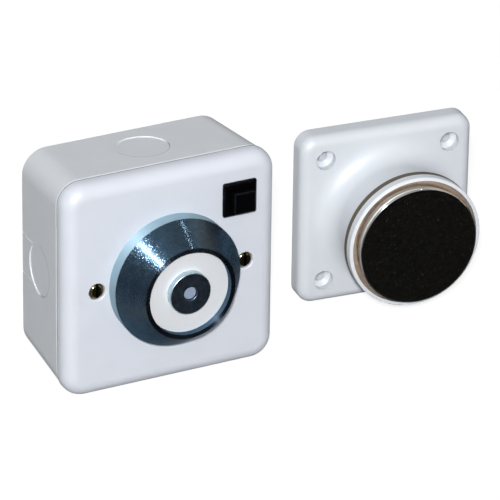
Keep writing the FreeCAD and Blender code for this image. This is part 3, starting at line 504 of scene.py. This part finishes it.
def chromeFace(name):
    mat, tree, shader = freshMaterial(name)
    at = keeperCoords(tree)
    haze = noise(tree, at, chrome["hazePerMetre"], 6, chrome["hazeRough"])
    face = tones(tree, haze, chrome["face"], chrome["share"])
    # painted reflection of the lit dish on the rim
    rimPaintedReflection = tones(tree, haze, chrome["rimPaintedReflection"], chrome["rimShare"])
    onRim = beyond(tree, axisRadius(tree, at), chrome["rimRadius"], 2 * edgeWidth)
    specks = noise(tree, at, chrome["dustPerMetre"], 1)
    dust = tones(tree, specks, chrome["dust"], chrome["dustShare"])
    dusty = spread(tree, specks, *chrome["dustEnds"], 0, 1)
    tree.links.new(blended(tree, dusty, blended(tree, onRim, face, rimPaintedReflection), dust), shader.inputs["Base Color"])
    tree.links.new(spread(tree, haze, *chrome["hazeEnds"], *chrome["roughness"]), shader.inputs["Roughness"])
    tree.links.new(opposite(tree, dusty), shader.inputs["Metallic"])
    return mat


wear(["front_plate"], plateMoulding("plateWhite"))
wear(["back_box"], boxMoulding("boxWhite"))
wear(["keeper_base"], whiteMoulding("keeperWhite", moulding["keeper"]))
wear(["armature_carrier"], dishMoulding("dishWhite"))
wear(["magnet_cup"], zincPlate("turnedZinc"))
wear(["magnet_core"], poleSteel("poleSteel"))
wear(["coil_potting"], plainPlastic("coilFilling"))
wear(["switch_housing", "button_cap", "suppression_diode"], plainPlastic("buttonBlack"))
rubber = plainPlastic("bandRubber")
wear(["buffer_ring"], rubber)
wear(["coil_bobbin", "lead_bush", "terminal_block", "ball_liner"], plainPlastic("nylon"))
wear(["coil_lead_feed", "switch_lead"], plainPlastic("redCovering"))
wear(["coil_lead_return"], plainPlastic("blackCovering"))
wear(["box_inserts", "contact_bridge", "switch_contacts", "terminal_clamps"], plainMetal("brass"))
wear(["plate_screws"], slottedBrass("screwBrass"))
copper = plainMetal("coilCopper")
wear(["coil_winding"], copper)
steel = plainMetal("platedSteel")
wear(["bolt_washer", "bolt_spring_washer", "button_spring", "switch_clip", "terminal_screws", "block_screw",
      "ball_stud", "stud_washer", "stud_nut", "carrier_screws"], steel)
wear(["magnet_bolt"], plainMetal("pinSteel"))
wear(["armature_disc"], chromeFace("armatureChrome"))
print("materials:", len(bpy.data.materials))


# what repeats or follows a path is grown from a node tree, then kept as a plain mesh
def growthTree(name, inputs):
    tree = bpy.data.node_groups.new(name, "GeometryNodeTree")
    for kind, labels in inputs.items():
        for label in labels:
            tree.interface.new_socket(label, in_out="INPUT", socket_type="NodeSocket" + kind)
    tree.interface.new_socket("Geometry", in_out="OUTPUT", socket_type="NodeSocketGeometry")
    return tree, tree.nodes.new("NodeGroupInput").outputs, tree.nodes.new("NodeGroupOutput").inputs


def step(tree, kind, *links, **settings):
    node = tree.nodes.new(kind)
    for name, value in settings.items():
        setattr(node, name, value)
    for socket, source in links:
        if hasattr(source, "is_linked"):
            tree.links.new(source, node.inputs[socket])
        else:
            node.inputs[socket].default_value = source
    return node.outputs[0]


def finished(tree, given, out, shape):
    whole = step(tree, "GeometryNodeRealizeInstances", ("Geometry", shape))
    dressed = step(tree, "GeometryNodeSetMaterial", ("Geometry", whole), ("Material", given["Finish"]))
    tree.links.new(dressed, out["Geometry"])
    return tree


def grown(name, tree, values):
    mesh = bpy.data.meshes.new(name + "Seed")
    seed = bpy.data.objects.new(name + "Seed", mesh)
    scene.collection.objects.link(seed)
    growth = seed.modifiers.new(name, "NODES")
    growth.node_group = tree
    for item in tree.interface.items_tree:
        if item.in_out == "INPUT":
            growth[item.identifier] = values[item.name]
    graph = bpy.context.evaluated_depsgraph_get()
    made = bpy.data.meshes.new_from_object(seed.evaluated_get(graph))
    seed.modifiers.remove(growth)
    bpy.data.objects.remove(seed)
    form = bmesh.new()
    form.from_mesh(made)
    bmesh.ops.recalc_face_normals(form, faces=form.faces)
    form.to_mesh(made)
    form.free()
    piece = bpy.data.objects.new(name, made)
    scene.collection.objects.link(piece)
    return piece


def clearance(piece, low, high):
    spots = [vert.co for vert in piece.data.vertices]
    room = [min(spot[i] - low[i] for spot in spots) for i in range(3)]
    room += [min(high[i] - spot[i] for spot in spots) for i in range(3)]
    return round(min(room), 6)


# the coil: turn on turn of enamelled wire, in layers
coil = {
    "Turns": 11,
    "Layers": 13,
    "First Turn": (0, -0.04837, 0),
    "Turn Step": (0, -0.000495, 0),
    "Inner Radius": 0.00946,
    "Layer Step": 0.000502,
    "Wire": 0.000243,
    "Turn Points": 40,
    "Wire Sides": 5,
    "Finish": copper,
}


def coilTree():
    tree, given, out = growthTree("coilTurns", {
        "Int": ["Turns", "Layers", "Turn Points", "Wire Sides"], "Vector": ["First Turn", "Turn Step"],
        "Float": ["Inner Radius", "Layer Step", "Wire"], "Material": ["Finish"]})
    layers = step(tree, "GeometryNodeMeshLine", ("Count", given["Layers"]), ("Offset", (0, 0, 0)))
    number = step(tree, "GeometryNodeInputIndex")
    growth = step(tree, "ShaderNodeMath", (0, number), (1, given["Layer Step"]), operation="MULTIPLY")
    radius = step(tree, "ShaderNodeMath", (0, growth), (1, given["Inner Radius"]), operation="ADD")
    ring = step(tree, "GeometryNodeCurvePrimitiveCircle", ("Resolution", given["Turn Points"]),
                ("Radius", 1.0))
    rings = step(tree, "GeometryNodeInstanceOnPoints", ("Points", layers), ("Instance", ring),
                 ("Rotation", (math.pi / 2, 0, 0)), ("Scale", radius))
    turns = step(tree, "GeometryNodeMeshLine", ("Count", given["Turns"]),
                 ("Start Location", given["First Turn"]), ("Offset", given["Turn Step"]))
    wound = step(tree, "GeometryNodeInstanceOnPoints", ("Points", turns), ("Instance", rings))
    paths = step(tree, "GeometryNodeRealizeInstances", ("Geometry", wound))  # so that the wire isn't scaled
    section = step(tree, "GeometryNodeCurvePrimitiveCircle", ("Resolution", given["Wire Sides"]),
                   ("Radius", given["Wire"]))
    wire = step(tree, "GeometryNodeCurveToMesh", ("Curve", paths), ("Profile Curve", section))
    smooth = step(tree, "GeometryNodeSetShadeSmooth", ("Geometry", wire))
    return finished(tree, given, out, smooth)


coilTurns = grown("coilTurns", coilTree(), coil)
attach(coilTurns, "fixed_parts")
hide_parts("coil_winding")
print("coil wound:", len(coilTurns.data.polygons), "faces")


def keeperSpot(depth):
    turn = math.radians(-keeperPlace["turn"])
    return Vector(keeperPlace["centre"]) + depth * Vector((math.sin(turn), -math.cos(turn), 0))


# the rubber ring: a soft-cornered section carried round the armature's axis
band = {
    "Path Radius": 0.0208,
    "Across": 0.0114,
    "Thick": 0.0028,
    "Soft": 0.00055,
    "Path Points": 144,
    "Corner Points": 5,
    "Place": keeperSpot(0.0326),
    "Turn": (math.pi / 2, 0, math.radians(-keeperPlace["turn"])),
    "Finish": rubber,
}


def bandTree():
    tree, given, out = growthTree("rubberBand", {
        "Float": ["Path Radius", "Across", "Thick", "Soft"], "Int": ["Path Points", "Corner Points"],
        "Vector": ["Place", "Turn"], "Material": ["Finish"]})
    path = step(tree, "GeometryNodeCurvePrimitiveCircle", ("Resolution", given["Path Points"]),
                ("Radius", given["Path Radius"]))
    section = step(tree, "GeometryNodeCurvePrimitiveQuadrilateral", ("Width", given["Across"]),
                   ("Height", given["Thick"]))
    soft = step(tree, "GeometryNodeFilletCurve", ("Curve", section), ("Radius", given["Soft"]),
                ("Count", given["Corner Points"]), mode="POLY")
    ring = step(tree, "GeometryNodeCurveToMesh", ("Curve", path), ("Profile Curve", soft))
    smooth = step(tree, "GeometryNodeSetShadeSmooth", ("Geometry", ring))
    placed = step(tree, "GeometryNodeTransform", ("Geometry", smooth), ("Translation", given["Place"]),
                  ("Rotation", given["Turn"]))
    return finished(tree, given, out, placed)


rubberBand = grown("rubberBand", bandTree(), band)
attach(rubberBand, "armature")
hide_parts("buffer_ring")
low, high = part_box("buffer_ring")
print("rubber band inside its CAD box by", clearance(rubberBand, low, high))

# the stud's nut, its edges broken as a pressed nut's are
nut = {"edge": 0.0004, "segments": 3, "sharpFrom": 35, "flatTo": 1, "join": 0.000001}


def softened(nodeName, pieceName):
    mesh = nodes[nodeName].data.copy()
    form = bmesh.new()
    form.from_mesh(mesh)
    bmesh.ops.remove_doubles(form, verts=form.verts, dist=nut["join"])
    bmesh.ops.dissolve_limit(form, angle_limit=math.radians(nut["flatTo"]), verts=form.verts,
                             edges=form.edges)
    bmesh.ops.recalc_face_normals(form, faces=form.faces)
    form.to_mesh(mesh)
    form.free()
    seed = bpy.data.objects.new(pieceName + "Seed", mesh)
    scene.collection.objects.link(seed)
    bevel = seed.modifiers.new("edges", "BEVEL")
    bevel.width = nut["edge"]
    bevel.segments = nut["segments"]
    bevel.limit_method = "ANGLE"
    bevel.angle_limit = math.radians(nut["sharpFrom"])
    graph = bpy.context.evaluated_depsgraph_get()
    made = bpy.data.meshes.new_from_object(seed.evaluated_get(graph))
    seed.modifiers.remove(bevel)
    bpy.data.objects.remove(seed)
    piece = bpy.data.objects.new(pieceName, made)
    scene.collection.objects.link(piece)
    return piece


studNut = softened("stud_nut", "studNut")
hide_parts("stud_nut")
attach(studNut, "fixed_parts")
print("nut softened:", len(studNut.data.polygons), "faces")

# the button's spring: a helix that closes up as the button goes in
springLow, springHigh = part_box("button_spring")
springMiddle = (springLow + springHigh) / 2
springWire = 0.00018
spring = {
    "Turns": 2.5,
    "Coil Radius": 0.0017,
    "Wire": springWire,
    "Length": springHigh.y - springLow.y - 2 * springWire,
    "Back End": (springMiddle.x, springHigh.y - springWire, springMiddle.z),
    "Turn Points": 28,
    "Wire Sides": 10,
    "Finish": steel,
}


def springTree():
    tree, given, out = growthTree("springCoil", {
        "Float": ["Turns", "Coil Radius", "Wire", "Length"], "Int": ["Turn Points", "Wire Sides"],
        "Vector": ["Back End"], "Material": ["Finish"]})
    path = step(tree, "GeometryNodeCurveSpiral", ("Resolution", given["Turn Points"]),
                ("Rotations", given["Turns"]), ("Start Radius", given["Coil Radius"]),
                ("End Radius", given["Coil Radius"]), ("Height", given["Length"]))
    section = step(tree, "GeometryNodeCurvePrimitiveCircle", ("Resolution", given["Wire Sides"]),
                   ("Radius", given["Wire"]))
    wire = step(tree, "GeometryNodeCurveToMesh", ("Curve", path), ("Profile Curve", section),
                ("Fill Caps", True))
    smooth = step(tree, "GeometryNodeSetShadeSmooth", ("Geometry", wire))
    placed = step(tree, "GeometryNodeTransform", ("Geometry", smooth), ("Translation", given["Back End"]),
                  ("Rotation", (math.pi / 2, 0, 0)))
    return finished(tree, given, out, placed)


springCoil = grown("springCoil", springTree(), spring)
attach(springCoil, "fixed_parts")
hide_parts("button_spring")
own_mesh(springCoil)
print("spring inside its CAD box by", clearance(springCoil, springLow, springHigh))

# pale floor under the box, wide enough to fill any view; polished metal sees it as a dark studio floor
floorSpec = {
    "half": 12.0,
    "seenGlow": 0.85,
    "seen": 0.24,
    "roughness": 0.9,
    "bounce": 0.25,
    "mirrored": [(0.0, (0.10, 0.12, 0.16)), (0.30, (0.12, 0.14, 0.17)), (0.42, (0.42, 0.31, 0.19)),
                 (0.56, (0.40, 0.30, 0.19)), (0.66, (0.03, 0.032, 0.034)), (1.0, (0.018, 0.018, 0.018))],
    "mirroredAcross": (-0.12, 0.02),
    "mirroredNear": (0.27, 0.275, 0.28),
    "nearDepth": (-0.085, -0.055),
    "nearAcross": (0.05, 0.07),
}


def makeFloor():
    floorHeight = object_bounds()[0].z
    half = floorSpec["half"]
    mesh = bpy.data.meshes.new("floor")
    corners = [(x, y, floorHeight) for x, y in ((-half, -half), (half, -half), (half, half), (-half, half))]
    mesh.from_pydata(corners, [], [(0, 1, 2, 3)])
    floor = bpy.data.objects.new("floor", mesh)
    scene.collection.objects.link(floor)
    mat, tree, shader = freshMaterial("paleFloor")
    shader.inputs["Base Color"].default_value = [floorSpec["seen"]] * 3 + [1]
    shader.inputs["Roughness"].default_value = floorSpec["roughness"]
    shader.inputs["Specular IOR Level"].default_value = 0
    shader.inputs["Emission Color"].default_value = (1, 1, 1, 1)
    shader.inputs["Emission Strength"].default_value = floorSpec["seenGlow"]
    bounce = tree.nodes.new("ShaderNodeBsdfDiffuse")
    bounce.inputs["Color"].default_value = [floorSpec["bounce"]] * 3 + [1]
    dark = tree.nodes.new("ShaderNodeEmission")
    at = objectCoords(tree)
    across = along(tree, at, "X")
    shade = ramp(tree, spread(tree, across, *floorSpec["mirroredAcross"], 0, 1), floorSpec["mirrored"])
    near = both(tree, spread(tree, along(tree, at, "Y"), *floorSpec["nearDepth"], 0, 1),
                spread(tree, across, *floorSpec["nearAcross"], 1, 0))
    foot = tree.nodes.new("ShaderNodeRGB")
    foot.outputs[0].default_value = (*floorSpec["mirroredNear"], 1)
    tree.links.new(blended(tree, near, shade, foot.outputs[0]), dark.inputs["Color"])
    path = tree.nodes.new("ShaderNodeLightPath")
    lit = tree.nodes.new("ShaderNodeMixShader")
    mix = tree.nodes.new("ShaderNodeMixShader")
    out = next(node for node in tree.nodes if node.type == "OUTPUT_MATERIAL")
    tree.links.new(path.outputs["Is Diffuse Ray"], lit.inputs[0])
    tree.links.new(shader.outputs["BSDF"], lit.inputs[1])
    tree.links.new(bounce.outputs["BSDF"], lit.inputs[2])
    tree.links.new(path.outputs["Is Glossy Ray"], mix.inputs[0])
    tree.links.new(lit.outputs["Shader"], mix.inputs[1])
    tree.links.new(dark.outputs["Emission"], mix.inputs[2])
    tree.links.new(mix.outputs["Shader"], out.inputs["Surface"])
    mesh.materials.append(mat)


makeFloor()
print("floor made")

# camera where the photo was taken from
cameraSpec = {
    "place": (-0.7084, -1.4810, 0.8128),
    "toCamera": (-0.39400, -0.80025, 0.45205),
    "target": (0, -0.0422, 0),
    "across": 0.02866,
    "up": 0.00961,
    "roll": 0.3708,
    "lens": 353.155,
    "sensor": 36,
    "clip": (0.05, 60),
}


def makeCamera():
    back = Vector(cameraSpec["toCamera"]).normalized()
    right = Vector((0, 0, 1)).cross(back).normalized()
    up = back.cross(right)
    turn = math.radians(cameraSpec["roll"])
    side = right * math.cos(turn) + up * math.sin(turn)
    rise = up * math.cos(turn) - right * math.sin(turn)
    aim = Vector(cameraSpec["target"]) + side * cameraSpec["across"] + rise * cameraSpec["up"]
    place = Vector(cameraSpec["place"])
    axisBack = (place - aim).normalized()
    axisSide = rise.cross(axisBack).normalized()
    axisUp = axisBack.cross(axisSide)
    data = bpy.data.cameras.new("photoCamera")
    data.lens = cameraSpec["lens"]
    data.sensor_width = cameraSpec["sensor"]
    data.clip_start, data.clip_end = cameraSpec["clip"]
    camera = bpy.data.objects.new("photoCamera", data)
    basis = Matrix((axisSide, axisUp, axisBack)).transposed()
    camera.matrix_world = Matrix.Translation(place) @ basis.to_4x4()
    scene.collection.objects.link(camera)
    scene.camera = camera
    return place, axisSide, axisUp


cameraPlace, cameraSide, cameraUp = makeCamera()

# soft studio light: a flash beside the camera, an even white room, a weak light from behind
lightSpec = {
    "flashUp": 0.10,
    "flashSide": -0.03,
    "flashAim": (0.05, -0.03, 0),
    "flashSize": 0.10,
    "flashPower": 34.0,
    "sparkSize": 0.05,
    "sparkPower": 30.0,
    "magnetAim": (0, -0.05, 0),
    "edgePlace": (0.43, -0.35, 0.85),
    "edgeSize": 0.03,
    "edgePower": 0.3,
    "backPlace": (0.06, 1.30, 0.22),
    "backSize": 0.6,
    "backPower": 6.0,
}


def lamp(name, place, aim, size, power):
    data = bpy.data.lights.new(name, "AREA")
    data.shape = "DISK"
    data.size = size
    data.energy = power
    light = bpy.data.objects.new(name, data)
    facing = (place - aim).to_track_quat("Z", "Y").to_matrix().to_4x4()
    light.matrix_world = Matrix.Translation(place) @ facing
    scene.collection.objects.link(light)
    return light


def makeLights():
    place = cameraPlace + cameraUp * lightSpec["flashUp"] + cameraSide * lightSpec["flashSide"]
    aim = Vector(lightSpec["flashAim"])
    lamp("flash", place, aim, lightSpec["flashSize"], lightSpec["flashPower"])
    spark = lamp("spark", place, aim, lightSpec["sparkSize"], lightSpec["sparkPower"])
    spark.visible_diffuse = False  # the flash's bare tube, only for glints
    aim = Vector(lightSpec["magnetAim"])
    place = Vector(lightSpec["edgePlace"])
    edge = lamp("edgeLight", place, aim, lightSpec["edgeSize"], lightSpec["edgePower"])
    edge.visible_diffuse = False  # only for glints on the turned metal
    place = Vector(lightSpec["backPlace"])
    back = lamp("backLight", place, aim, lightSpec["backSize"], lightSpec["backPower"])
    back.visible_glossy = False  # lifts the faces turned to the wall


# the room as it lights the pieces, and as polished metal sees it from left to right
room = {
    "colour": (0.93, 0.96, 1.0),
    "strength": 0.29,
    "mirrored": [(0.0, (0.17, 0.175, 0.18)), (0.15, (0.24, 0.26, 0.28)), (0.31, (0.37, 0.44, 0.50)),
                 (0.51, (0.36, 0.37, 0.37)), (0.70, (0.24, 0.25, 0.25)), (0.825, (0.52, 0.50, 0.46)),
                 (0.93, (0.42, 0.30, 0.22)), (0.975, (0.18, 0.18, 0.22)), (1.0, (0.18, 0.19, 0.23))],
}


def makeRoom():
    world = bpy.data.worlds.new("room")
    world.use_nodes = True
    tree = world.node_tree
    tree.nodes.clear()
    out = tree.nodes.new("ShaderNodeOutputWorld")
    path = tree.nodes.new("ShaderNodeLightPath")
    even = tree.nodes.new("ShaderNodeBackground")
    even.inputs["Color"].default_value = (*room["colour"], 1)
    even.inputs["Strength"].default_value = room["strength"]
    dark = tree.nodes.new("ShaderNodeBackground")
    toward = tree.nodes.new("ShaderNodeTexCoord").outputs["Generated"]
    across = spread(tree, along(tree, toward, "X"), -1, 1, 0, 1)
    tree.links.new(ramp(tree, across, room["mirrored"]), dark.inputs["Color"])
    white = tree.nodes.new("ShaderNodeBackground")
    white.inputs["Color"].default_value = (1, 1, 1, 1)
    mirrored = tree.nodes.new("ShaderNodeMixShader")
    seen = tree.nodes.new("ShaderNodeMixShader")
    tree.links.new(path.outputs["Is Glossy Ray"], mirrored.inputs[0])
    tree.links.new(even.outputs["Background"], mirrored.inputs[1])
    tree.links.new(dark.outputs["Background"], mirrored.inputs[2])
    tree.links.new(path.outputs["Is Camera Ray"], seen.inputs[0])
    tree.links.new(mirrored.outputs["Shader"], seen.inputs[1])
    tree.links.new(white.outputs["Background"], seen.inputs[2])
    tree.links.new(seen.outputs["Shader"], out.inputs["Surface"])
    scene.world = world


makeLights()
makeRoom()
scene.view_settings.view_transform = "Standard"
print("camera and light set")
